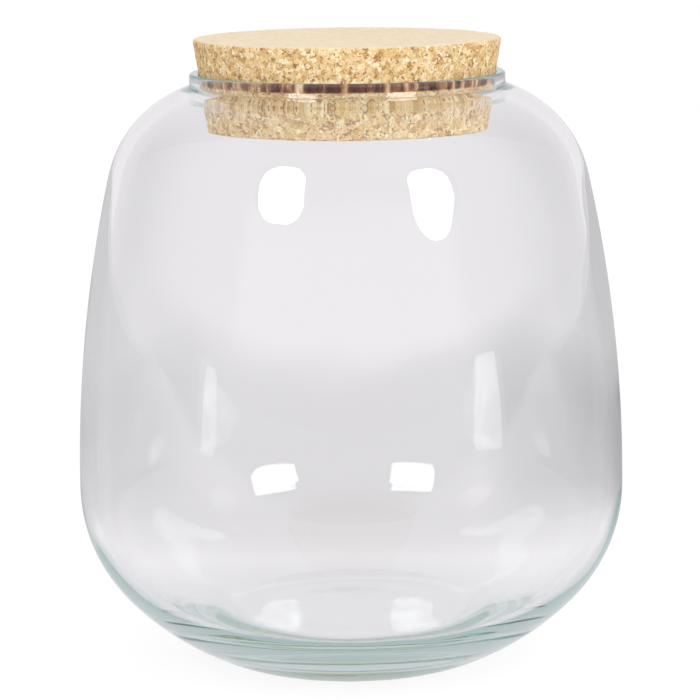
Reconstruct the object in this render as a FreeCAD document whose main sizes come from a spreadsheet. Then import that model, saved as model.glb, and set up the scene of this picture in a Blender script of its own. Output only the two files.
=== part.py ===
import FreeCAD
import Part
import Sketcher

import math
import os

# A blown glass storage jar closed by a tapered cork stopper.
# Frame: millimetres, Z up, origin on the jar's axis at the level that its foot stands on.

# Driving dimensions: lengths in millimetres, angles in degrees.
driving_dimensions = {
    # Jar, outside
    "jar_height": 233.2,  # foot to the top of the lip
    "belly_radius": 108.3,  # where the jar is widest
    "belly_height": 69.8,
    "bowl_lift": 7.7,  # the bowl's turning circle stays this far above the table
    "flank_radius": 106.8,  # flatter stretch between the bowl's turn and the heel
    "heel_radius": 37.2,
    "foot_radius": 42.9,  # outer edge of the flat ring that the jar stands on
    "foot_ring_width": 9.0,
    "punt_depth": 1.2,  # shallow hollow under the base
    "side_radius": 548.0,  # long sweep from the belly to the shoulder
    "shoulder_radius": 47.5,
    "neck_height": 5.2,  # from the corner of shoulder and neck to the top of the lip
    "neck_hollow_radius": 1.2,
    # Jar, inside
    "wall": 5.0,
    "floor_height": 16.5,  # lowest ring of the inside floor
    "floor_rise": 2.0,  # the middle of the floor stands this much higher
    "inner_neck_round": 9.0,  # under the seat, or as much of it as fits
    # Mouth and stopper
    "mouth_radius": 58.3,  # tapered seat, measured level with the top of the lip
    "lip_thickness": 3.5,
    "lip_round": 1.1,  # both edges of the flat rim
    "seat_taper_degrees": 9.4,  # half angle of the seat and of the stopper
    "seat_clearance": 0.1,
    "stopper_height": 35.7,
    "stopper_stand": 13.3,  # how far the stopper stands out of the mouth
    "stopper_top_round": 1.2,
    "stopper_bottom_round": 0.8,
}

# Sizes that follow from the driving ones, as formulas on the sheet's aliases.
neck_radius = "Dimensions.mouth_radius + Dimensions.lip_thickness"
taper_angle = "Dimensions.seat_taper_degrees * 1deg"
stopper_radius_at_lip = f"Dimensions.mouth_radius - Dimensions.seat_clearance / cos({taper_angle})"
stopper_depth = "(Dimensions.stopper_height - Dimensions.stopper_stand)"
stopper_foot_radius = f"{stopper_radius_at_lip} - {stopper_depth} * tan({taper_angle})"
stopper_top_radius = f"{stopper_radius_at_lip} + Dimensions.stopper_stand * tan({taper_angle})"

same_level = 1e-6  # heights closer than this are one level


def make_sheet(doc):
    sheet = doc.addObject("Spreadsheet::Sheet", "Dimensions")
    for row, (alias, value) in enumerate(driving_dimensions.items(), start=1):
        sheet.set(f"A{row}", alias)
        sheet.set(f"B{row}", str(value))
        sheet.setAlias(f"B{row}", alias)
    doc.recompute()
    return sheet


def make_body(doc, label):
    body = doc.addObject("PartDesign::Body", label)
    body.Label = label
    return body


def make_section(body, name):
    """A sketch on the body's XZ plane: sketch X is the radius and sketch Y the height."""
    sketch = body.newObject("Sketcher::SketchObject", name)
    planes = [item for item in body.Origin.OriginFeatures if item.Role == "XZ_Plane"]
    sketch.AttachmentSupport = [(planes[0], "")]
    sketch.MapMode = "FlatFace"
    return sketch


def heading(start, end):
    """The angle in radians of the direction from one (radius, height) point to another."""
    return math.atan2(end[1] - start[1], end[0] - start[0])


def crossing(first, first_reach, second, second_reach, side):
    """Where two circles cross, on the left (+1) or right (-1) of the line of their centres."""
    gap = math.dist(first, second)
    along = (gap**2 + first_reach**2 - second_reach**2) / (2 * gap)
    across = side * math.sqrt(first_reach**2 - along**2)
    turn = heading(first, second)
    return (
        first[0] + along * math.cos(turn) - across * math.sin(turn),
        first[1] + along * math.sin(turn) + across * math.cos(turn),
    )


def start_of(curve):
    return (curve, 1)


def end_of(curve):
    return (curve, 2)


def center_of(curve):
    return (curve, 3)


def table_line():
    """The sketch's own horizontal axis."""
    return -1


def jar_axis():
    """The sketch's own vertical axis."""
    return -2


class Profile:
    """Draws curves in a sketch and ties them together and to the sheet."""

    def __init__(self, sketch):
        self.sketch = sketch

    def line(self, start, end):
        segment = Part.LineSegment(FreeCAD.Vector(*start, 0), FreeCAD.Vector(*end, 0))
        return self.sketch.addGeometry(segment, False)

    def arc(self, center, radius, start_angle, end_angle):
        circle = Part.Circle(FreeCAD.Vector(*center, 0), FreeCAD.Vector(0, 0, 1), radius)
        return self.sketch.addGeometry(Part.ArcOfCircle(circle, start_angle, end_angle), False)

    def guide_point(self, place):
        return self.sketch.addGeometry(Part.Point(FreeCAD.Vector(*place, 0)), True)

    def tie(self, kind, *where):
        self.sketch.addConstraint(Sketcher.Constraint(kind, *where))

    def size(self, name, formula, kind, *where):
        index = self.sketch.addConstraint(Sketcher.Constraint(kind, *where))
        self.sketch.renameConstraint(index, name)
        self.sketch.setExpression(f"Constraints.{name}", formula)


def draw_jar_section(sketch, sheet):
    """Half section of the glass, drawn in place from the sheet's values and then constrained."""
    taper = math.radians(sheet.seat_taper_degrees)
    neck = sheet.mouth_radius + sheet.lip_thickness
    lip = sheet.lip_round
    bowl = sheet.belly_height - sheet.bowl_lift
    inner_bowl = sheet.belly_height - sheet.floor_height
    inner_shoulder = sheet.shoulder_radius - sheet.wall
    hollow = sheet.neck_hollow_radius
    punt_radius = sheet.foot_radius - sheet.foot_ring_width
    punt_sphere = (punt_radius**2 + sheet.punt_depth**2) / (2 * sheet.punt_depth)
    floor_top = sheet.floor_height + sheet.floor_rise

    # Centres of the arcs, as (radius, height)
    punt_at = (0, sheet.punt_depth - punt_sphere)
    heel_at = (sheet.foot_radius, sheet.heel_radius)
    bowl_at = (sheet.belly_radius - bowl, sheet.belly_height)
    flank_at = crossing(
        heel_at, sheet.flank_radius - sheet.heel_radius, bowl_at, sheet.flank_radius - bowl, 1
    )
    side_at = (sheet.belly_radius - sheet.side_radius, sheet.belly_height)
    neck_corner = (neck, sheet.jar_height - sheet.neck_height)
    shoulder_at = crossing(
        side_at, sheet.side_radius - sheet.shoulder_radius, neck_corner, sheet.shoulder_radius, -1
    )
    hollow_reach = sheet.shoulder_radius + hollow
    hollow_over = neck + hollow - shoulder_at[0]
    hollow_at = (neck + hollow, shoulder_at[1] + math.sqrt(hollow_reach**2 - hollow_over**2))
    rim_edge_at = (neck - lip, sheet.jar_height - lip)
    mouth_corner = (sheet.mouth_radius, sheet.jar_height)
    mouth_edge_at = (
        sheet.mouth_radius + lip * (1 - math.sin(taper)) / math.cos(taper), sheet.jar_height - lip
    )
    seat_normal = (math.cos(taper), -math.sin(taper))
    seat_along = (math.sin(taper), math.cos(taper))
    seat_top = (mouth_edge_at[0] - lip * seat_normal[0], mouth_edge_at[1] - lip * seat_normal[1])
    # Where the shoulder lies close under the lip, the round beneath the seat is no larger than
    # the glass allows: a seat as long as its clearance stays above it.
    shortest_seat = sheet.seat_clearance
    reach = (
        seat_top[0] - shortest_seat * seat_along[0] - shoulder_at[0],
        seat_top[1] - shortest_seat * seat_along[1] - shoulder_at[1],
    )
    outward = reach[0] * seat_normal[0] + reach[1] * seat_normal[1]
    largest_round = (math.hypot(*reach) ** 2 - inner_shoulder**2) / (2 * (inner_shoulder - outward))
    inner_round = min(sheet.inner_neck_round, largest_round)
    # The inner round's centre slides along the seat until it meets the shoulder's inner face.
    slide_from = (
        seat_top[0] + inner_round * seat_normal[0], seat_top[1] + inner_round * seat_normal[1]
    )
    away = (slide_from[0] - shoulder_at[0], slide_from[1] - shoulder_at[1])
    rise = away[0] * seat_along[0] + away[1] * seat_along[1]
    slack = math.hypot(*away) ** 2 - (inner_shoulder + inner_round) ** 2
    slide = rise - math.sqrt(rise**2 - slack)
    round_at = (slide_from[0] - slide * seat_along[0], slide_from[1] - slide * seat_along[1])
    seat_foot = (seat_top[0] - slide * seat_along[0], seat_top[1] - slide * seat_along[1])
    inner_bowl_at = (sheet.belly_radius - sheet.wall - inner_bowl, sheet.belly_height)
    floor_slack = math.hypot(*inner_bowl_at) ** 2 - (inner_bowl + floor_top) ** 2
    below = floor_slack / (2 * sheet.floor_rise)
    floor_at = (0, -below)

    # Angles where neighbouring arcs meet
    up = math.pi / 2
    heel_end = heading(flank_at, heel_at)
    flank_end = heading(flank_at, bowl_at)
    side_end = heading(side_at, shoulder_at)
    shoulder_end = heading(shoulder_at, hollow_at)
    seat_angle = math.pi - taper
    round_end = heading(round_at, shoulder_at) + 2 * math.pi
    inner_shoulder_end = heading(shoulder_at, round_at)
    inner_bowl_end = heading(inner_bowl_at, floor_at)
    floor_end = heading(floor_at, inner_bowl_at)

    draw = Profile(sketch)
    punt = draw.arc(punt_at, punt_sphere, heading(punt_at, (punt_radius, 0)), up)
    foot = draw.line((punt_radius, 0), (sheet.foot_radius, 0))
    heel = draw.arc(heel_at, sheet.heel_radius, -up, heel_end)
    flank = draw.arc(flank_at, sheet.flank_radius, heel_end, flank_end)
    bowl_turn = draw.arc(bowl_at, bowl, flank_end, 0)
    side = draw.arc(side_at, sheet.side_radius, 0, side_end)
    shoulder = draw.arc(shoulder_at, sheet.shoulder_radius, side_end, shoulder_end)
    neck_hollow = draw.arc(hollow_at, hollow, math.pi, shoulder_end + math.pi)
    neck_wall = draw.line((neck, hollow_at[1]), (neck, rim_edge_at[1]))
    rim_edge = draw.arc(rim_edge_at, lip, 0, up)
    rim = draw.line((rim_edge_at[0], sheet.jar_height), (mouth_edge_at[0], sheet.jar_height))
    mouth_edge = draw.arc(mouth_edge_at, lip, up, seat_angle)
    seat = draw.line(seat_foot, seat_top)
    neck_round = draw.arc(round_at, inner_round, seat_angle, round_end)
    shoulder_inside = draw.arc(shoulder_at, inner_shoulder, side_end, inner_shoulder_end)
    side_inside = draw.arc(side_at, sheet.side_radius - sheet.wall, 0, side_end)
    bowl_inside = draw.arc(inner_bowl_at, inner_bowl, inner_bowl_end, 0)
    floor = draw.arc(floor_at, floor_top + below, floor_end, up)
    axis = draw.line((0, floor_top), (0, sheet.punt_depth))
    corner = draw.guide_point(neck_corner)
    mouth = draw.guide_point(mouth_corner)

    # The section is one closed chain, smooth except where the flat foot meets the punt.
    draw.tie("Coincident", *start_of(punt), *start_of(foot))
    smooth_joins = [
        (end_of(foot), start_of(heel)),
        (end_of(heel), start_of(flank)),
        (end_of(flank), start_of(bowl_turn)),
        (end_of(bowl_turn), start_of(side)),
        (end_of(side), start_of(shoulder)),
        (end_of(shoulder), end_of(neck_hollow)),
        (start_of(neck_hollow), start_of(neck_wall)),
        (end_of(neck_wall), start_of(rim_edge)),
        (end_of(rim_edge), start_of(rim)),
        (end_of(rim), start_of(mouth_edge)),
        (end_of(mouth_edge), end_of(seat)),
        (start_of(seat), start_of(neck_round)),
        (end_of(neck_round), end_of(shoulder_inside)),
        (start_of(shoulder_inside), end_of(side_inside)),
        (start_of(side_inside), end_of(bowl_inside)),
        (start_of(bowl_inside), start_of(floor)),
    ]
    for first, second in smooth_joins:
        draw.tie("Tangent", *first, *second)
    draw.tie("Coincident", *end_of(floor), *start_of(axis))
    draw.tie("Coincident", *end_of(axis), *end_of(punt))

    # On the axis, on the table, and concentric inside and out
    for point in (start_of(axis), end_of(axis), center_of(punt), center_of(floor)):
        draw.tie("PointOnObject", *point, jar_axis())
    for point in (start_of(foot), end_of(foot)):
        draw.tie("PointOnObject", *point, table_line())
    draw.tie("Vertical", neck_wall)
    draw.tie("Horizontal", rim)
    draw.tie("Equal", rim_edge, mouth_edge)
    draw.tie("Horizontal", *center_of(bowl_turn), *end_of(bowl_turn))
    draw.tie("Horizontal", *start_of(side_inside), *start_of(side))
    draw.tie("Coincident", *center_of(shoulder_inside), *center_of(shoulder))
    draw.tie("Coincident", *center_of(side_inside), *center_of(side))
    draw.tie("PointOnObject", *start_of(corner), neck_wall)
    draw.tie("PointOnObject", *start_of(corner), shoulder)
    draw.tie("PointOnObject", *start_of(mouth), rim)
    draw.tie("PointOnObject", *start_of(mouth), seat)

    # Sizes bound to the sheet
    origin = start_of(table_line())
    draw.size(
        "foot_radius", "Dimensions.foot_radius", "DistanceX", *origin, *end_of(foot), sheet.foot_radius
    )
    draw.size(
        "foot_ring_width", "Dimensions.foot_ring_width", "DistanceX", *start_of(foot), *end_of(foot),
        sheet.foot_ring_width,
    )
    draw.size("punt_depth", "Dimensions.punt_depth", "DistanceY", *origin, *end_of(punt), sheet.punt_depth)
    draw.size("heel_radius", "Dimensions.heel_radius", "Radius", heel, sheet.heel_radius)
    draw.size("flank_radius", "Dimensions.flank_radius", "Radius", flank, sheet.flank_radius)
    draw.size(
        "bowl_radius", "Dimensions.belly_height - Dimensions.bowl_lift", "Radius", bowl_turn, bowl
    )
    draw.size(
        "belly_radius", "Dimensions.belly_radius", "DistanceX", *origin, *start_of(side), sheet.belly_radius
    )
    draw.size(
        "belly_height", "Dimensions.belly_height", "DistanceY", *origin, *start_of(side), sheet.belly_height
    )
    draw.size("side_radius", "Dimensions.side_radius", "Radius", side, sheet.side_radius)
    draw.size("shoulder_radius", "Dimensions.shoulder_radius", "Radius", shoulder, sheet.shoulder_radius)
    draw.size(
        "corner_height", "Dimensions.jar_height - Dimensions.neck_height", "DistanceY",
        *origin, *start_of(corner), neck_corner[1],
    )
    draw.size("neck_hollow_radius", "Dimensions.neck_hollow_radius", "Radius", neck_hollow, hollow)
    draw.size("neck_radius", neck_radius, "DistanceX", *origin, *end_of(neck_wall), neck)
    draw.size("lip_round", "Dimensions.lip_round", "Radius", rim_edge, lip)
    draw.size(
        "jar_height", "Dimensions.jar_height", "DistanceY", *origin, *start_of(rim), sheet.jar_height
    )
    draw.size(
        "mouth_radius", "Dimensions.mouth_radius", "DistanceX", *origin, *start_of(mouth),
        sheet.mouth_radius,
    )
    draw.size("seat_angle", f"90deg - {taper_angle}", "Angle", seat, up - taper)
    if inner_round < sheet.inner_neck_round:
        draw.size("shortest_seat", "Dimensions.seat_clearance", "Distance", seat, shortest_seat)
    else:
        draw.size("inner_neck_round", "Dimensions.inner_neck_round", "Radius", neck_round, inner_round)
    draw.size(
        "inside_radius", "Dimensions.belly_radius - Dimensions.wall", "DistanceX",
        *origin, *start_of(side_inside), sheet.belly_radius - sheet.wall,
    )
    draw.size(
        "inner_bowl_radius", "Dimensions.belly_height - Dimensions.floor_height", "Radius",
        bowl_inside, inner_bowl,
    )
    draw.size(
        "floor_top", "Dimensions.floor_height + Dimensions.floor_rise", "DistanceY",
        *origin, *start_of(axis), floor_top,
    )


def make_glass_jar(doc, sheet):
    body = make_body(doc, "glass_jar")
    section = make_section(body, "jar_section")
    doc.recompute()
    draw_jar_section(section, sheet)
    doc.recompute()
    turned = body.newObject("PartDesign::Revolution", "jar_turned")
    turned.Profile = section
    turned.ReferenceAxis = (section, ["V_Axis"])
    turned.Angle = 360
    doc.recompute()
    return body


def ring_edge(feature, height):
    """The name of the full circle edge that lies at one height of a turned feature."""
    for number, edge in enumerate(feature.Shape.Edges, start=1):
        box = edge.BoundBox
        level = max(abs(box.ZMin - height), abs(box.ZMax - height)) < same_level
        if edge.isClosed() and level:
            return f"Edge{number}"
    raise RuntimeError(f"{feature.Name} has no ring at height {height}")


def make_cork_stopper(doc, sheet):
    """A plain cone of agglomerated cork with eased edges, whose taper is the mouth's own."""
    body = make_body(doc, "cork_stopper")
    cone = body.newObject("PartDesign::AdditiveCone", "cork_cone")
    cone.setExpression("Height", "Dimensions.stopper_height")
    cone.setExpression("Radius1", stopper_foot_radius)
    cone.setExpression("Radius2", stopper_top_radius)
    doc.recompute()
    top_ease = body.newObject("PartDesign::Fillet", "top_ease")
    top_ease.Base = (cone, [ring_edge(cone, sheet.stopper_height)])
    top_ease.setExpression("Radius", "Dimensions.stopper_top_round")
    doc.recompute()
    bottom_ease = body.newObject("PartDesign::Fillet", "bottom_ease")
    bottom_ease.Base = (top_ease, [ring_edge(top_ease, 0)])
    bottom_ease.setExpression("Radius", "Dimensions.stopper_bottom_round")
    body.setExpression("Placement.Base.z", f"Dimensions.jar_height - {stopper_depth}")
    doc.recompute()
    return body


def check(doc, bodies):
    for item in doc.Objects:
        if "Invalid" in item.State or "Error" in item.State:
            raise RuntimeError(f"{item.Label} failed: {item.State}")
        if item.isDerivedFrom("Sketcher::SketchObject") and not item.FullyConstrained:
            raise RuntimeError(f"{item.Label} isn't fully constrained")
    for body in bodies:
        if body.Shape.isNull() or not body.Shape.isValid():
            raise RuntimeError(f"{body.Label} has no valid solid")


def main():
    doc = FreeCAD.newDocument("GlassJarWithCork")
    sheet = make_sheet(doc)
    bodies = [make_glass_jar(doc, sheet), make_cork_stopper(doc, sheet)]
    doc.recompute()
    check(doc, bodies)
    os.makedirs("parts", exist_ok=True)
    for body in bodies:
        body.Shape.exportStep(f"parts/{body.Label}.step")
        box = body.Shape.optimalBoundingBox()
        print(
            f"{body.Label}: volume {body.Shape.Volume:.0f} mm3,"
            f" radius {box.XMax:.2f} mm, from {box.ZMin:.2f} to {box.ZMax:.2f} mm up"
        )


main()
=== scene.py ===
import bpy
import bmesh
import math
from mathutils import Matrix, Vector


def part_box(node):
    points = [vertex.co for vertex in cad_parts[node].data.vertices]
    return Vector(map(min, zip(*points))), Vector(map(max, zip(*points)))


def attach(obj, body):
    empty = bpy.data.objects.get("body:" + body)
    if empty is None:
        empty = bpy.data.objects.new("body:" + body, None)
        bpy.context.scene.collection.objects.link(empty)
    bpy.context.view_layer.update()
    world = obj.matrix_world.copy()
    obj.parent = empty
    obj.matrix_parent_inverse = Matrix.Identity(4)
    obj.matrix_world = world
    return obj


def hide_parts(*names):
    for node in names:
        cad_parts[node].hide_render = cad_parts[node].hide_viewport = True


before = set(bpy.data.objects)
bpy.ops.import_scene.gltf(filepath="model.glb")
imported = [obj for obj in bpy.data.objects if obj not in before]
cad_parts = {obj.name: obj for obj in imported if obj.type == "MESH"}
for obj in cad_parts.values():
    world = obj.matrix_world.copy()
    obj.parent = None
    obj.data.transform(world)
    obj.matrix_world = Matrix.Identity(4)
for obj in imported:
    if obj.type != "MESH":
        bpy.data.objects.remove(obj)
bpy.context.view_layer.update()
scene = bpy.context.scene
scene.view_settings.view_transform = "Standard"


# shared helpers: modelling

def startClean():
    if bpy.context.object and bpy.context.object.mode != "OBJECT":
        bpy.ops.object.mode_set(mode="OBJECT")
    bpy.ops.object.select_all(action="DESELECT")


def makeActive(piece):
    startClean()
    piece.select_set(True)
    bpy.context.view_layer.objects.active = piece


def applyAll(piece):
    makeActive(piece)
    for name in [modifier.name for modifier in piece.modifiers]:
        bpy.ops.object.modifier_apply(modifier=name)


def selectWhere(piece, test):
    mesh = bmesh.from_edit_mesh(piece.data)
    for vertex in mesh.verts:
        vertex.select = test(vertex.co)
    mesh.select_flush(False)
    bmesh.update_edit_mesh(piece.data)


def heading(start, end):
    return math.atan2(end[1] - start[1], end[0] - start[0])


def shifted(point, direction, length):
    return (point[0] + length * direction[0], point[1] + length * direction[1])


def circleCrossing(first, firstReach, second, secondReach, side):
    gap = math.dist(first, second)
    along = (gap ** 2 + firstReach ** 2 - secondReach ** 2) / (2 * gap)
    across = side * math.sqrt(firstReach ** 2 - along ** 2)
    turn = heading(first, second)
    return (first[0] + along * math.cos(turn) - across * math.sin(turn),
            first[1] + along * math.sin(turn) + across * math.cos(turn))


# shared helpers: shader nodes

nodeGrid = {"rows": 6, "width": 220, "height": 260}    # nodes are laid out in columns
white = (1, 1, 1, 1)


def addNode(tree, kind, **settings):
    column, row = divmod(len(tree.nodes), nodeGrid["rows"])
    node = tree.nodes.new(kind)
    node.location = (column * nodeGrid["width"], -row * nodeGrid["height"])
    for key, value in settings.items():
        setattr(node, key, value)
    return node


def newNodeMaterial(name):
    material = bpy.data.materials.new(name)
    material.use_nodes = True
    tree = material.node_tree
    tree.nodes.clear()
    return material, tree, addNode(tree, "ShaderNodeOutputMaterial").inputs


def feed(tree, socket, value):
    if isinstance(value, bpy.types.NodeSocket):
        tree.links.new(value, socket)
    else:
        socket.default_value = value


def calculate(tree, operation, *values, kind="ShaderNodeMath"):
    node = addNode(tree, kind, operation=operation)
    for socket, value in zip(node.inputs, values):
        feed(tree, socket, value)
    return node.outputs[0]


def mix(tree, share, first, second, kind="FLOAT"):
    node = addNode(tree, "ShaderNodeMix", data_type=kind)
    for name, value in (("Factor", share), ("A", first), ("B", second)):
        feed(tree, node.inputs[name], value)
    return node.outputs["Result"]


def smoothStep(tree, source, low, high, toLow, toHigh):
    node = addNode(tree, "ShaderNodeMapRange", interpolation_type="SMOOTHSTEP")
    for name, value in (("Value", source), ("From Min", low), ("From Max", high),
                        ("To Min", toLow), ("To Max", toHigh)):
        feed(tree, node.inputs[name], value)
    return node.outputs["Result"]


def colorRamp(tree, source, stops):
    node = addNode(tree, "ShaderNodeValToRGB")
    elements = node.color_ramp.elements
    while len(elements) < len(stops):
        elements.new(0.5)
    for element, (position, color) in zip(elements, stops):
        element.position = position
        element.color = color
    tree.links.new(source, node.inputs["Fac"])
    return node.outputs["Color"]


def greyRamp(tree, source, stops):
    return colorRamp(tree, source, [(spot, (value, value, value, 1)) for spot, value in stops])


def placeOn(tree, space):
    place = addNode(tree, "ShaderNodeTexCoord").outputs[space]
    axes = addNode(tree, "ShaderNodeSeparateXYZ")
    tree.links.new(place, axes.inputs["Vector"])
    return place, axes.outputs


# camera, standing where the photograph was taken from

shot = {
    "place": (0.0, -1.1, 0.3204),
    "aim": (0.0, 0.0, 0.1223),
    "lens": 144.4,       # mm
    "sensor": 36.0,      # mm
    "roll": -0.010,      # the photograph leans a little
    "clip": (0.01, 100.0),
}


def placeCamera():
    startClean()
    bpy.ops.object.camera_add(location=shot["place"])
    camera = bpy.context.object
    camera.name = "photoCamera"
    look = (Vector(shot["aim"]) - Vector(shot["place"])).to_track_quat("-Z", "Y").to_matrix()
    camera.rotation_euler = (look @ Matrix.Rotation(shot["roll"], 3, "Z")).to_euler()
    camera.data.lens = shot["lens"]
    camera.data.sensor_width = shot["sensor"]
    camera.data.clip_start, camera.data.clip_end = shot["clip"]
    scene.camera = camera
    print("camera placed")


placeCamera()


# glass jar, one section swung round its axis

jar = {
    "bellyHeight": 0.0698,
    "bowlLift": 0.0077,              # lowest point of the bowl's circle
    "flankRadius": 0.1068,
    "heelRadius": 0.0372,
    "footRadius": 0.0429,
    "footRing": 0.009,
    "puntDepth": 0.0012,
    "softFoot": (0.024, 0.0405),     # radii between which the foot ring runs softly into the punt
    "softShare": 0.5,
    "softRounds": 12,
    "sideRadius": 0.548,
    "shoulderRadius": 0.0475,
    "neckHeight": 0.0052,
    "neckHollow": 0.0012,
    "wall": 0.005,
    "floorHeight": 0.0165,
    "floorRise": 0.002,
    "innerNeckRound": 0.009,
    "mouthRadius": 0.0583,
    "lipThickness": 0.0035,
    "lipRound": 0.0011,
    "seatTaper": math.radians(9.4),
    "grain": 0.0027,                 # length of one step along a big arc
    "turn": math.radians(9.0),       # most that one step of a small arc turns
    "roundSteps": 208,
    "weld": 1e-6,
    "clearRim": 2,                   # steps of the rim that the cork doesn't rub
    "neckAbove": 0.2,                # the seat lies above this height
    "rubbed": 0.12,                  # roughness where the cork rubs the seat
    "waveSize": 0.042,               # hand-blown unevenness of the inside
    "waveDepth": 0.0004,
    "waveTop": (0.196, 0.212),       # heights over which it dies out towards the seat
    "heelWave": (0.0005, 0.012, 0.04),  # heights on the outside between which it grows and dies out
    "heelShare": 0.8,
    "refraction": 1.5,
    "tint": (0.6, 0.85, 0.82, 1),
    "tintDensity": 5.0,
}


def jarRuns(bellyRadius, height):
    taper = jar["seatTaper"]
    neck = jar["mouthRadius"] + jar["lipThickness"]
    lip = jar["lipRound"]
    bowl = jar["bellyHeight"] - jar["bowlLift"]
    innerBowl = jar["bellyHeight"] - jar["floorHeight"]
    innerShoulder = jar["shoulderRadius"] - jar["wall"]
    puntRadius = jar["footRadius"] - jar["footRing"]
    puntSphere = (puntRadius ** 2 + jar["puntDepth"] ** 2) / (2 * jar["puntDepth"])
    floorTop = jar["floorHeight"] + jar["floorRise"]
    hollow = jar["neckHollow"]
    innerRound = jar["innerNeckRound"]

    # centres of the arcs outside
    puntAt = (0.0, jar["puntDepth"] - puntSphere)
    heelAt = (jar["footRadius"], jar["heelRadius"])
    bowlAt = (bellyRadius - bowl, jar["bellyHeight"])
    flankAt = circleCrossing(heelAt, jar["flankRadius"] - jar["heelRadius"],
                             bowlAt, jar["flankRadius"] - bowl, 1)
    sideAt = (bellyRadius - jar["sideRadius"], jar["bellyHeight"])
    neckCorner = (neck, height - jar["neckHeight"])
    shoulderAt = circleCrossing(sideAt, jar["sideRadius"] - jar["shoulderRadius"],
                                neckCorner, jar["shoulderRadius"], -1)
    rise = math.sqrt((jar["shoulderRadius"] + hollow) ** 2 - (neck + hollow - shoulderAt[0]) ** 2)
    hollowAt = (neck + hollow, shoulderAt[1] + rise)
    lipAt = (neck - lip, height - lip)

    # centres of the arcs inside, the round under the seat touching seat and shoulder
    innerLipAt = (jar["mouthRadius"] + lip * (1 - math.sin(taper)) / math.cos(taper), height - lip)
    seatNormal = (math.cos(taper), -math.sin(taper))
    seatAlong = (math.sin(taper), math.cos(taper))
    seatTop = shifted(innerLipAt, seatNormal, -lip)
    slideFrom = shifted(seatTop, seatNormal, innerRound)
    away = shifted(slideFrom, shoulderAt, -1)
    climb = away[0] * seatAlong[0] + away[1] * seatAlong[1]
    slack = away[0] ** 2 + away[1] ** 2 - (innerShoulder + innerRound) ** 2
    slide = climb - math.sqrt(climb ** 2 - slack)
    roundAt = shifted(slideFrom, seatAlong, -slide)
    innerBowlAt = (bellyRadius - jar["wall"] - innerBowl, jar["bellyHeight"])
    bowlReach = innerBowlAt[0] ** 2 + innerBowlAt[1] ** 2
    below = (bowlReach - (innerBowl + floorTop) ** 2) / (2 * jar["floorRise"])
    floorAt = (0.0, -below)

    heelEnd = heading(flankAt, heelAt)
    flankEnd = heading(flankAt, bowlAt)
    sideEnd = heading(sideAt, shoulderAt)
    shoulderEnd = heading(shoulderAt, hollowAt)
    roundStart = math.pi - taper
    roundEnd = heading(roundAt, shoulderAt) + 2 * math.pi
    shoulderTop = heading(shoulderAt, roundAt)
    bowlFoot = heading(innerBowlAt, floorAt)
    floorEdge = heading(floorAt, innerBowlAt)
    # each run: centre, radius, sweep; or None, None, (across, up) for a straight one
    return (0.0, jar["puntDepth"]), [
        (puntAt, puntSphere, heading(puntAt, (puntRadius, 0.0)) - math.pi / 2),
        (None, None, (jar["footRing"], 0.0)),
        (heelAt, jar["heelRadius"], heelEnd + math.pi / 2),
        (flankAt, jar["flankRadius"], flankEnd - heelEnd),
        (bowlAt, bowl, -flankEnd),
        (sideAt, jar["sideRadius"], sideEnd),
        (shoulderAt, jar["shoulderRadius"], shoulderEnd - sideEnd),
        (hollowAt, hollow, -shoulderEnd),
        (None, None, (0.0, lipAt[1] - hollowAt[1])),
        (lipAt, lip, math.pi / 2),
        (None, None, (innerLipAt[0] - lipAt[0], 0.0)),
        (innerLipAt, lip, math.pi / 2 - taper),
        (None, None, (-slide * seatAlong[0], -slide * seatAlong[1])),
        (roundAt, innerRound, roundEnd - roundStart),
        (shoulderAt, innerShoulder, sideEnd - shoulderTop),
        (sideAt, jar["sideRadius"] - jar["wall"], -sideEnd),
        (innerBowlAt, innerBowl, bowlFoot),
        (floorAt, floorTop + below, math.pi / 2 - floorEdge),
    ]


def drawJarSection(start, runs):
    startClean()
    bpy.ops.mesh.primitive_plane_add(size=jar["grain"], location=(0, 0, 0))
    piece = bpy.context.object
    piece.name = "glassJar"
    bpy.ops.object.mode_set(mode="EDIT")
    bpy.ops.mesh.select_all(action="SELECT")
    bpy.ops.mesh.merge(type="CENTER")    # one point, which draws the section
    bpy.ops.transform.translate(value=(start[0], 0.0, start[1]))
    for center, radius, sweep in runs:
        if center is None:
            steps = max(math.ceil(math.hypot(*sweep) / jar["grain"]), 1)
            step = (sweep[0] / steps, 0.0, sweep[1] / steps)
            for _ in range(steps):
                bpy.ops.mesh.extrude_region_move(TRANSFORM_OT_translate={"value": step})
        else:
            steps = max(math.ceil(radius * abs(sweep) / jar["grain"]), math.ceil(abs(sweep) / jar["turn"]))
            bpy.ops.mesh.spin(steps=steps, angle=sweep, center=(center[0], 0.0, center[1]), axis=(0, 1, 0))
    inner, outer = jar["softFoot"]
    selectWhere(piece, lambda spot: spot.z < jar["puntDepth"] and inner < spot.x < outer)
    bpy.ops.mesh.vertices_smooth(factor=jar["softShare"], repeat=jar["softRounds"])
    bpy.ops.object.mode_set(mode="OBJECT")
    return piece


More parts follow.
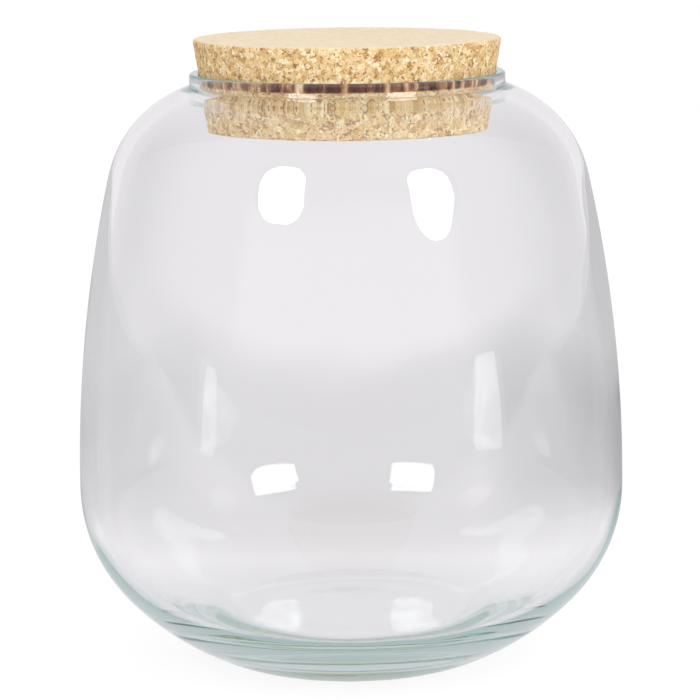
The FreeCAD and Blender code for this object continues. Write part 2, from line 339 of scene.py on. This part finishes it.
def markSection(piece):
    points = [vertex.co for vertex in piece.data.vertices]
    lipTop = max(range(len(points)), key=lambda index: points[index].z)
    neck = [index for index in range(lipTop, len(points)) if points[index].z > jar["neckAbove"]]
    seatFoot = min(neck, key=lambda index: points[index].x)
    rubbed = piece.data.attributes.new("rubbed", "FLOAT", "POINT")
    for index in range(lipTop + jar["clearRim"], seatFoot + 1):
        rubbed.data[index].value = 1.0
    fadeStart, fadeEnd = jar["waveTop"]
    start, full, end = jar["heelWave"]
    uneven = piece.vertex_groups.new(name="uneven")    # the inside, and the heel in part
    for index, point in enumerate(points):
        if index > lipTop:
            fade = min(max((fadeEnd - point.z) / (fadeEnd - fadeStart), 0.0), 1.0)
            uneven.add([index], fade * fade * (3 - 2 * fade), "REPLACE")
        elif start < point.z < end:
            fade = min((point.z - start) / (full - start), (end - point.z) / (end - full), 1.0)
            uneven.add([index], jar["heelShare"] * fade, "REPLACE")


def swingJar(piece):
    makeActive(piece)
    bpy.ops.object.mode_set(mode="EDIT")
    bpy.ops.mesh.select_all(action="SELECT")
    bpy.ops.mesh.spin(steps=jar["roundSteps"], angle=2 * math.pi, center=(0, 0, 0), axis=(0, 0, 1))
    bpy.ops.mesh.select_all(action="SELECT")
    bpy.ops.mesh.remove_doubles(threshold=jar["weld"])
    bpy.ops.mesh.normals_make_consistent(inside=False)
    bpy.ops.object.mode_set(mode="OBJECT")
    bpy.ops.object.shade_smooth()


def waveJar(piece):
    ripple = bpy.data.textures.new("blownRipple", "CLOUDS")
    ripple.noise_scale = jar["waveSize"]
    ripple.noise_depth = 1
    wave = piece.modifiers.new("wave", "DISPLACE")
    wave.texture = ripple
    wave.texture_coords = "LOCAL"
    wave.vertex_group = "uneven"
    wave.mid_level = 0.5
    wave.strength = jar["waveDepth"]
    applyAll(piece)


def clearGlass():
    material, tree, output = newNodeMaterial("clearGlass")
    glass = addNode(tree, "ShaderNodeBsdfPrincipled")
    glass.inputs["Base Color"].default_value = white
    glass.inputs["IOR"].default_value = jar["refraction"]
    glass.inputs["Transmission Weight"].default_value = 1.0
    # the seat is rubbed matt by the cork
    seat = addNode(tree, "ShaderNodeAttribute", attribute_name="rubbed")
    matt = smoothStep(tree, seat.outputs["Fac"], 0.0, 1.0, 0.0, jar["rubbed"])
    tree.links.new(matt, glass.inputs["Roughness"])
    tint = addNode(tree, "ShaderNodeVolumeAbsorption")
    tint.inputs["Color"].default_value = jar["tint"]
    tint.inputs["Density"].default_value = jar["tintDensity"]
    tree.links.new(glass.outputs["BSDF"], output["Surface"])
    tree.links.new(tint.outputs["Volume"], output["Volume"])
    return material


def makeJar():
    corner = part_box("glass_jar")[1]
    piece = drawJarSection(*jarRuns(corner.x, corner.z))
    markSection(piece)
    swingJar(piece)
    waveJar(piece)
    piece.data.materials.clear()
    piece.data.materials.append(clearGlass())
    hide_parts("glass_jar")
    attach(piece, "jar")
    print("jar swung:", len(piece.data.polygons), "faces")


makeJar()


# cork stopper

cork = {
    "mouthRadius": 0.0582,      # at the lip, with the play of the seat taken off
    "topRound": 0.0012,
    "bottomRound": 0.0008,
    "roundSteps": 4,
    "roundVertices": 192,
    "sameHeight": 1e-5,
    "voxel": 0.0008,
    "grainSize": 0.0019,
    "grainDepth": 0.00025,
    "pitSize": 0.0024,
    "pitDepth": 0.0008,
    "pitRange": (0.66, 0.78),   # levels of the noise between which a pit falls away
    "topFacing": (0.7, 0.95),   # upward part of the normal over which the side turns into the top with painted top light
    "warp": 0.0018,
    "tones": ((0.0, (0.59, 0.35, 0.15, 1)), (0.14, (0.69, 0.45, 0.19, 1)), (0.4, (0.76, 0.54, 0.26, 1)),
              (0.6, (0.80, 0.57, 0.31, 1)), (0.8, (0.84, 0.65, 0.37, 1)), (1.0, (0.90, 0.75, 0.49, 1))),
    # noises: scale, detail, roughness
    "warpNoise": (480.0, 3.0, 0.5),
    "mottleNoise": (1300.0, 4.0, 0.5),
    "patchNoise": (380.0, 2.0, 0.5),
    "crumbNoise": (1000.0, 2.0, 0.5),
    "shadeStreakNoise": (240.0, 4.0, 0.7),
    "mottle": (0.3, 0.7, 0.80, 1.12),
    "seamWidth": (0.02, 0.16),
    "patchRange": (0.55, 0.63),
    "crumbRange": (0.61, 0.67),
    "bark": (0.26, 0.11, 0.04, 1),
    "barkSide": 0.9,
    "barkTop": 0.15,
    # painted top light: colour of the top, paler for the strong light and sheen from above, with some dust
    "litAndDustyTop": (0.79, 0.695, 0.54, 1),
    "litAndDustyTopShare": 0.75,
    # painted shade of the seat: a dark ring just below the lip
    "ringTop": (0.0008, 0.0002),    # below the lip
    "ringFoot": (0.0042, 0.0034),
    "upright": (1.0, 1.0, 0.06),    # draws the painted shade streaks out along the axis
    "shadeStreaks": ((0.34, (0.04, 0.015, 0.01, 1)), (0.46, (0.14, 0.05, 0.03, 1)), (0.54, (0.36, 0.16, 0.08, 1)),
               (0.60, (0.62, 0.38, 0.20, 1)), (0.67, (0.92, 0.75, 0.52, 1))),
    "reliefDepth": 0.00025,
    "reliefStrength": 0.5,
    "roughness": 0.85,
    "shine": 0.25,
}


def shapeStopper():
    low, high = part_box("cork_stopper")
    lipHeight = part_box("glass_jar")[1].z
    slope = math.tan(jar["seatTaper"])
    bottomRadius = cork["mouthRadius"] - (lipHeight - low.z) * slope
    topRadius = cork["mouthRadius"] + (high.z - lipHeight) * slope
    startClean()
    bpy.ops.mesh.primitive_cone_add(vertices=cork["roundVertices"], radius1=bottomRadius, radius2=topRadius,
                                    depth=high.z - low.z, end_fill_type="NGON",
                                    location=(0, 0, (low.z + high.z) / 2))
    piece = bpy.context.object
    piece.name = "corkStopper"
    bpy.ops.object.transform_apply(location=True, rotation=True, scale=True)
    for height, width in ((high.z, cork["topRound"]), (low.z, cork["bottomRound"])):
        bpy.ops.object.mode_set(mode="EDIT")
        bpy.ops.mesh.select_mode(type="EDGE")
        bpy.ops.mesh.select_all(action="DESELECT")
        mesh = bmesh.from_edit_mesh(piece.data)
        for edge in mesh.edges:
            edge.select = all(abs(vertex.co.z - height) < cork["sameHeight"] for vertex in edge.verts)
        bmesh.update_edit_mesh(piece.data)
        bpy.ops.mesh.bevel(offset=width, segments=cork["roundSteps"], affect="EDGES")
        bpy.ops.object.mode_set(mode="OBJECT")
    return piece


def roughenStopper(piece):
    remesh = piece.modifiers.new("even", "REMESH")
    remesh.mode = "VOXEL"
    remesh.voxel_size = cork["voxel"]
    applyAll(piece)
    # marks the upward faces that take the painted top light
    side, top = cork["topFacing"]
    litAndDustyTop = piece.data.attributes.new("litAndDustyTopMask", "FLOAT", "POINT")
    for vertex, spot in zip(piece.data.vertices, litAndDustyTop.data):
        spot.value = min(max((vertex.normal.z - side) / (top - side), 0.0), 1.0)
    grains = bpy.data.textures.new("corkGrains", "VORONOI")
    grains.noise_scale = cork["grainSize"]
    pits = bpy.data.textures.new("corkPits", "CLOUDS")
    pits.noise_scale = cork["pitSize"]
    pits.use_color_ramp = True
    for element, position, level in zip(pits.color_ramp.elements, cork["pitRange"], (0, 1)):
        element.position = position
        element.color = (level, level, level, 1)
    for name, texture, depth in (("grain", grains, cork["grainDepth"]), ("pits", pits, cork["pitDepth"])):
        press = piece.modifiers.new(name, "DISPLACE")
        press.texture = texture
        press.texture_coords = "LOCAL"
        press.mid_level = 0.0
        press.strength = -depth
    applyAll(piece)
    bpy.ops.object.shade_smooth()


def corkNoise(tree, vector, name):
    noise = addNode(tree, "ShaderNodeTexNoise")
    for socket, value in zip(("Scale", "Detail", "Roughness"), cork[name]):
        noise.inputs[socket].default_value = value
    tree.links.new(vector, noise.inputs["Vector"])
    return noise.outputs


def corkGrains(tree, place):
    # grains, bent out of their straight cell walls
    warp = corkNoise(tree, place, "warpNoise")["Color"]
    bent = calculate(tree, "MULTIPLY_ADD", warp, (cork["warp"],) * 3, place, kind="ShaderNodeVectorMath")
    grains = addNode(tree, "ShaderNodeTexVoronoi")
    walls = addNode(tree, "ShaderNodeTexVoronoi", feature="DISTANCE_TO_EDGE")
    for cells in (grains, walls):
        cells.inputs["Scale"].default_value = 1.0 / cork["grainSize"]
        tree.links.new(bent, cells.inputs["Vector"])
    chance = addNode(tree, "ShaderNodeSeparateColor")
    tree.links.new(grains.outputs["Color"], chance.inputs["Color"])
    return colorRamp(tree, chance.outputs["Red"], cork["tones"]), walls.outputs["Distance"]


def corkBark(tree, place, walls):
    # dark bark in some of the seams, and loose crumbs of it
    seam = smoothStep(tree, walls, *cork["seamWidth"], 1.0, 0.0)
    patches = smoothStep(tree, corkNoise(tree, place, "patchNoise")["Fac"], *cork["patchRange"], 0.0, 1.0)
    crumbs = smoothStep(tree, corkNoise(tree, place, "crumbNoise")["Fac"], *cork["crumbRange"], 0.0, 1.0)
    return calculate(tree, "MAXIMUM", calculate(tree, "MULTIPLY", seam, patches), crumbs)


def seatShadeRing(tree, place, height):
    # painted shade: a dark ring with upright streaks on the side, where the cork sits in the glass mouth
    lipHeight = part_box("glass_jar")[1].z
    above = smoothStep(tree, height, *(lipHeight - depth for depth in cork["ringTop"]), 1.0, 0.0)
    under = smoothStep(tree, height, *(lipHeight - depth for depth in cork["ringFoot"]), 0.0, 1.0)
    upright = calculate(tree, "MULTIPLY", place, cork["upright"], kind="ShaderNodeVectorMath")
    shadeStreaks = colorRamp(tree, corkNoise(tree, upright, "shadeStreakNoise")["Fac"], cork["shadeStreaks"])
    return calculate(tree, "MULTIPLY", above, under), shadeStreaks


def agglomeratedCork():
    material, tree, output = newNodeMaterial("agglomeratedCork")
    place, axes = placeOn(tree, "Object")
    tone, walls = corkGrains(tree, place)
    mottle = corkNoise(tree, place, "mottleNoise")["Fac"]
    mottled = calculate(tree, "MULTIPLY", tone, smoothStep(tree, mottle, *cork["mottle"]),
                        kind="ShaderNodeVectorMath")
    # painted top light: the top is made paler and shows little of the bark, for the strong light and sheen from
    # above, with some dust
    top = addNode(tree, "ShaderNodeAttribute", attribute_name="litAndDustyTopMask").outputs["Fac"]
    barkLevel = smoothStep(tree, top, 0.0, 1.0, cork["barkSide"], cork["barkTop"])
    barkShare = calculate(tree, "MULTIPLY", corkBark(tree, place, walls), barkLevel)
    barked = mix(tree, barkShare, mottled, cork["bark"], "RGBA")
    litAndDustyTopShare = calculate(tree, "MULTIPLY", top, cork["litAndDustyTopShare"])
    litAndDustyTop = mix(tree, litAndDustyTopShare, barked, cork["litAndDustyTop"], "RGBA")
    # painted shade where the cork sits in the glass mouth
    ring, shadeStreaks = seatShadeRing(tree, place, axes["Z"])
    relief = addNode(tree, "ShaderNodeBump")
    relief.inputs["Distance"].default_value = cork["reliefDepth"]
    relief.inputs["Strength"].default_value = cork["reliefStrength"]
    tree.links.new(mottle, relief.inputs["Height"])
    surface = addNode(tree, "ShaderNodeBsdfPrincipled")
    surface.inputs["Roughness"].default_value = cork["roughness"]
    surface.inputs["Specular IOR Level"].default_value = cork["shine"]
    tree.links.new(mix(tree, ring, litAndDustyTop, shadeStreaks, "RGBA"), surface.inputs["Base Color"])
    tree.links.new(relief.outputs["Normal"], surface.inputs["Normal"])
    tree.links.new(surface.outputs["BSDF"], output["Surface"])
    return material


def makeStopper():
    piece = shapeStopper()
    roughenStopper(piece)
    piece.data.materials.clear()
    piece.data.materials.append(agglomeratedCork())
    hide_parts("cork_stopper")
    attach(piece, "stopper")
    print("stopper cut:", len(piece.data.polygons), "faces")


makeStopper()


# studio: pale table, two softboxes and two cards in front of the jar, soft room

studio = {
    "tableHalfWidth": 4.0,
    "tableFront": -2.5,
    "tableBack": 7.0,
    "airUnder": 0.0001,      # the foot touches the table in a few points only
    "tableColor": (0.86, 0.855, 0.865, 1),
    "glowForEye": 0.72,      # share of plain light in the table, the rest takes light and shadow
    "glowForGlass": 0.85,
    "whiteForEye": 1.11,
    "whiteForGlass": 0.68,
    "darkFront": 0.03,       # the table in front of the pool of light, as the glass mirrors it
    "poolFront": (-0.65, -0.40),
    "eyeDistance": 1.1,      # the pool narrows towards the camera
    # light on table and room from left to right
    "fan": ((0.0, 0.76), (0.3, 0.80), (0.37, 0.90), (0.40, 0.95), (0.44, 1.0),
            (0.54, 1.0), (0.575, 0.95), (0.60, 0.89), (0.62, 0.82), (0.70, 0.72), (1.0, 0.66)),
    "fanReach": 0.5,
    "fanStart": (0.12, 0.42),  # none of it close to the jar's foot
    "fanInRoom": 0.6,
    # light on the table from the jar's foot to one metre behind it, and two shaded wings beside it
    "shade": ((0.0, 1.2), (0.09, 1.17), (0.12, 1.03), (0.15, 0.95), (0.2, 0.885), (0.3, 0.925),
              (0.42, 0.925), (0.55, 0.96), (0.7, 1.0)),
    "wings": ((0.36, 0.1), (0.41, 0.5), (0.45, 0.0), (0.55, 0.0),
              (0.568, 0.6), (0.60, 0.8), (0.66, 1.0), (0.75, 0.55)),
    "wingDepth": ((0.16, 0.0), (0.28, 1.0), (0.52, 1.0), (0.82, 0.0)),
    "wingShade": 0.42,
    "ambient": (0.57, 1.04),        # light for matt surfaces, from the left and the right
    "ambientSpan": (-0.9, 0.5),
    "glassGain": 1.95,              # more of it through the glass
    "tint": (1.022, 0.98, 1.014, 1),     # the room's light is a touch lilac
    "through": 0.76,         # room seen straight through the glass
    "farRoom": 0.88,         # room seen in the far side of the glass
    "pipedRoom": 0.57,       # table and room in light that was mirrored more than once
    # room seen in reflections, and the directions over which one wall passes into the next
    "leftWall": 0.95,
    "rightWall": 1.05,
    "sideSpan": (-0.3, 0.3),
    "frontWall": 1.4,
    "frontSpan": (-0.68, -0.58),
    "ceiling": 1.0,
    "ceilingSpan": (0.22, 0.42),
    "backWall": 0.90,
    "backSpan": (0.0, 0.45),
    "belowFront": 0.04,
    "belowSpan": (-0.3, 0.3),
    "tableLine": (0.02, 0.09),
    "farCut": (0.025, 0.10),  # height on a lamp above which the far side of the jar doesn't show it
    "farDark": 0.8,
    "twiceLamp": 14.0,       # lamps mirrored more than once
    "pipedLamp": 0.6,        # lamps in glass that leads the light round
    "pipedFrom": (0.4, 0.5),    # led round: mirrored more often than 0.4 times its passes through glass, plus 0.5
    "lightBounces": 160,     # the thick base keeps light in for long
    "lampsAim": (0.0, 0.0, 0.19),
    "cornerSteps": 8,
    "sameRow": 1e-5,
}

# turn from the camera side, height angle and lean in degrees; taper: top to bottom width;
# parts: heights of the lower and upper part as the jar shows them, then how far each is stretched;
# lighting, inGlass, farSide: strength as a light, in the glass, and in the far side of the jar
softboxes = (
    {"name": "leftBox", "turn": -35.1, "lift": 31.8, "lean": 7.5, "distance": 1.25,
     "width": 0.46, "taper": 0.9, "slant": 0.0,
     "parts": (0.25, 0.34), "stretch": (0.37, 1.98), "corners": (0.19, 0.17),
     "lighting": 5.5, "inGlass": 33.0, "farSide": 60.0},
    {"name": "rightBox", "turn": 41.6, "lift": 28.8, "lean": -2.0, "distance": 1.25,
     "width": 0.52, "taper": 0.82, "slant": 0.07,
     "parts": (0.275, 0.34), "stretch": (0.42, 1.82), "corners": (0.25, 0.17),
     "lighting": 5.5, "inGlass": 33.0, "farSide": 60.0},
    {"name": "leftCard", "turn": -58.1, "lift": -8.3, "lean": 0.0, "distance": 0.7,
     "width": 0.085, "taper": 0.9, "slant": 0.0,
     "parts": (0.06, 0.068), "stretch": (1.0, 1.0), "corners": (0.02, 0.02),
     "lighting": 1.0, "inGlass": 2.0, "farSide": 0.8},
    {"name": "rightCard", "turn": 56.0, "lift": -8.4, "lean": 0.0, "distance": 0.7,
     "width": 0.15, "taper": 0.9, "slant": 0.0,
     "parts": (0.06, 0.066), "stretch": (1.0, 1.0), "corners": (0.02, 0.02),
     "lighting": 1.0, "inGlass": 2.8, "farSide": 0.8},
)


def glow(tree, kind, color, strength):
    node = addNode(tree, kind)
    feed(tree, node.inputs["Color"], color)
    feed(tree, node.inputs["Strength"], strength)
    return node.outputs[0]


def mixShaders(tree, share, first, second):
    node = addNode(tree, "ShaderNodeMixShader")
    for socket, value in zip(node.inputs, (share, first, second)):
        feed(tree, socket, value)
    return node.outputs["Shader"]


def sideRamp(tree, source, stops):
    spread = addNode(tree, "ShaderNodeMapRange")
    spread.inputs["From Min"].default_value = -studio["fanReach"]
    spread.inputs["From Max"].default_value = studio["fanReach"]
    tree.links.new(source, spread.inputs["Value"])
    return greyRamp(tree, spread.outputs["Result"], stops)


def moreThan(tree, source, count):
    return calculate(tree, "GREATER_THAN", source, count + 0.5)


def glassRay(tree, path):
    # rays that come from the eye by way of the glass, and not those that light the cork
    view = calculate(tree, "MAXIMUM", path["Is Glossy Ray"], path["Is Transmission Ray"])
    direct = calculate(tree, "LESS_THAN", path["Diffuse Depth"], 0.5)
    return calculate(tree, "MULTIPLY", view, direct)


def againRay(tree, path):
    return moreThan(tree, path["Glossy Depth"], 1)


def beyondRay(tree, path):
    # rays that have passed the front wall of the jar
    return moreThan(tree, path["Transmission Depth"], 2)


def deepRay(tree, path):
    # rays that have passed the front wall, or were mirrored more than once
    return calculate(tree, "MAXIMUM", beyondRay(tree, path), againRay(tree, path))


def tablePool(tree, path):
    # the glass shows the table as a pool of light that falls off to the front and the sides
    axes = placeOn(tree, "Object")[1]
    edge = smoothStep(tree, axes["Y"], *studio["poolFront"], studio["darkFront"], studio["whiteForGlass"])
    far = mix(tree, againRay(tree, path), studio["whiteForGlass"], studio["pipedRoom"])
    level = mix(tree, deepRay(tree, path), edge, far)
    aside = calculate(tree, "DIVIDE", axes["X"], calculate(tree, "ADD", axes["Y"], studio["eyeDistance"]))
    away = smoothStep(tree, axes["Y"], *studio["fanStart"], 0.0, 1.0)
    falloff = mix(tree, away, 1.0, sideRamp(tree, aside, studio["fan"]))
    wing = calculate(tree, "MULTIPLY", sideRamp(tree, aside, studio["wings"]),
                     greyRamp(tree, axes["Y"], studio["wingDepth"]))
    wingLevel = mix(tree, wing, 1.0, 1.0 - studio["wingShade"])
    shade = calculate(tree, "MULTIPLY", greyRamp(tree, axes["Y"], studio["shade"]), wingLevel)
    return calculate(tree, "MULTIPLY", level, calculate(tree, "MULTIPLY", falloff, shade))


def paleTable():
    material, tree, output = newNodeMaterial("paleTable")
    path = addNode(tree, "ShaderNodeLightPath").outputs
    forGlass = glow(tree, "ShaderNodeEmission", studio["tint"], tablePool(tree, path))
    forEye = glow(tree, "ShaderNodeEmission", white, studio["whiteForEye"])
    light = mixShaders(tree, path["Is Camera Ray"], forGlass, forEye)
    # light for the matt surfaces meets plain matt paint
    matt = addNode(tree, "ShaderNodeBsdfDiffuse")
    matt.inputs["Color"].default_value = studio["tableColor"]
    glassShare = calculate(tree, "MULTIPLY", glassRay(tree, path), studio["glowForGlass"])
    share = mix(tree, path["Is Camera Ray"], glassShare, studio["glowForEye"])
    tree.links.new(mixShaders(tree, share, matt.outputs["BSDF"], light), output["Surface"])
    return material


def roomWalls(tree, axes):
    # walls round the table, dark under the front wall
    sides = smoothStep(tree, axes["X"], *studio["sideSpan"], studio["leftWall"], studio["rightWall"])
    ahead = smoothStep(tree, axes["Y"], *studio["frontSpan"], 1.0, 0.0)
    front = smoothStep(tree, axes["Z"], *studio["ceilingSpan"], studio["frontWall"], studio["ceiling"])
    behind = smoothStep(tree, axes["Y"], *studio["backSpan"], 0.0, 1.0)
    walls = mix(tree, behind, mix(tree, ahead, sides, front), studio["backWall"])
    below = smoothStep(tree, axes["Y"], *studio["belowSpan"], studio["belowFront"], studio["backWall"])
    above = smoothStep(tree, axes["Z"], *studio["tableLine"], 0.0, 1.0)
    return mix(tree, above, below, walls)


def softRoom():
    world = bpy.data.worlds.new("softRoom")
    scene.world = world
    world.use_nodes = True
    tree = world.node_tree
    tree.nodes.clear()
    output = addNode(tree, "ShaderNodeOutputWorld").inputs
    path = addNode(tree, "ShaderNodeLightPath").outputs
    axes = placeOn(tree, "Generated")[1]
    # what has been mirrored at least once sees the walls, the rest looks straight through
    falloff = mix(tree, studio["fanInRoom"], 1.0, sideRamp(tree, axes["X"], studio["fan"]))
    through = calculate(tree, "MULTIPLY", falloff, studio["through"])
    farLevel = mix(tree, againRay(tree, path), studio["farRoom"], studio["pipedRoom"])
    mirrored = mix(tree, deepRay(tree, path), roomWalls(tree, axes), farLevel)
    view = mix(tree, moreThan(tree, path["Glossy Depth"], 0), through, mirrored)
    seen = glow(tree, "ShaderNodeBackground", studio["tint"], view)
    # light for the matt surfaces, weaker from the left, made up for what the glass takes
    level = smoothStep(tree, axes["X"], *studio["ambientSpan"], *studio["ambient"])
    gain = mix(tree, moreThan(tree, path["Transmission Depth"], 0), 1.0, studio["glassGain"])
    ambient = glow(tree, "ShaderNodeBackground", white, calculate(tree, "MULTIPLY", level, gain))
    plain = glow(tree, "ShaderNodeBackground", white, 1.0)
    byGlass = mixShaders(tree, glassRay(tree, path), ambient, seen)
    tree.links.new(mixShaders(tree, path["Is Camera Ray"], byGlass, plain), output["Surface"])


def lampGlow(lamp):
    material, tree, output = newNodeMaterial(lamp["name"])
    path = addNode(tree, "ShaderNodeLightPath").outputs
    # the far side shows the lower part of a lamp only
    height = placeOn(tree, "Object")[1]["Y"]
    far = smoothStep(tree, height, *studio["farCut"], lamp["farSide"], studio["farDark"])
    once = mix(tree, beyondRay(tree, path), lamp["inGlass"], far)
    twice = mix(tree, againRay(tree, path), once, min(lamp["inGlass"], studio["twiceLamp"]))
    # rays mirrored twice inside one wall, or more often between all of them, see little of the lamp
    often = calculate(tree, "MULTIPLY_ADD", path["Transmission Depth"], *studio["pipedFrom"])
    trapped = calculate(tree, "GREATER_THAN", path["Glossy Depth"], often)
    piped = mix(tree, trapped, twice, min(lamp["inGlass"], studio["pipedLamp"]))
    strength = mix(tree, glassRay(tree, path), lamp["lighting"], piped)
    tree.links.new(glow(tree, "ShaderNodeEmission", white, strength), output["Surface"])
    return material


def addSoftbox(lamp):
    turn, lift, lean = (math.radians(lamp[angle]) for angle in ("turn", "lift", "lean"))
    lower, upper = lamp["parts"]
    lowerStretch, upperStretch = lamp["stretch"]
    lowerCorner, upperCorner = lamp["corners"]
    startClean()
    bpy.ops.mesh.primitive_plane_add(size=1.0)
    panel = bpy.context.object
    panel.name = lamp["name"]
    # the outline as the jar shows it, then stretched to what makes the curved glass show it so
    bpy.ops.object.mode_set(mode="EDIT")
    bpy.ops.transform.resize(value=(lamp["width"], lower + upper, 1.0))
    bpy.ops.transform.translate(value=(0.0, (upper - lower) / 2, 0.0))
    selectWhere(panel, lambda spot: abs(spot.y - upper) < studio["sameRow"])
    bpy.ops.transform.resize(value=(lamp["taper"], 1.0, 1.0), center_override=(0, 0, 0))
    bpy.ops.transform.translate(value=(lamp["slant"], 0.0, 0.0))
    bpy.ops.mesh.bevel(offset=upperCorner, segments=studio["cornerSteps"], affect="VERTICES")
    selectWhere(panel, lambda spot: abs(spot.y + lower) < studio["sameRow"])
    bpy.ops.mesh.bevel(offset=lowerCorner, segments=studio["cornerSteps"], affect="VERTICES")
    bpy.ops.object.mode_set(mode="OBJECT")
    drop = (lower * lowerStretch - upper * upperStretch) / 2
    for vertex in panel.data.vertices:
        vertex.co.x -= lamp["slant"] / 2
        vertex.co.y = vertex.co.y * (upperStretch if vertex.co.y > 0 else lowerStretch) + drop
    out = Vector((math.sin(turn) * math.cos(lift), -math.cos(turn) * math.cos(lift), math.sin(lift)))
    facing = (-out).to_track_quat("-Z", "Y").to_matrix() @ Matrix.Rotation(lean, 3, "Z")
    center = Vector(studio["lampsAim"]) + out * lamp["distance"]
    panel.matrix_world = Matrix.Translation(center) @ facing.to_4x4()
    panel.data.materials.append(lampGlow(lamp))
    panel.visible_camera = False
    panel.visible_shadow = False


def addTable():
    front, back = studio["tableFront"], studio["tableBack"]
    startClean()
    bpy.ops.mesh.primitive_plane_add(size=1.0)
    table = bpy.context.object
    table.name = "paleTable"
    bpy.ops.object.mode_set(mode="EDIT")
    bpy.ops.transform.resize(value=(2 * studio["tableHalfWidth"], back - front, 1.0))
    bpy.ops.transform.translate(value=(0.0, (back + front) / 2, -studio["airUnder"]))
    bpy.ops.object.mode_set(mode="OBJECT")
    table.data.materials.append(paleTable())


def makeStudio():
    addTable()
    for lamp in softboxes:
        addSoftbox(lamp)
    softRoom()
    for limit in ("max_bounces", "transmission_bounces", "glossy_bounces"):
        setattr(scene.cycles, limit, studio["lightBounces"])
    print("studio lit")


makeStudio()
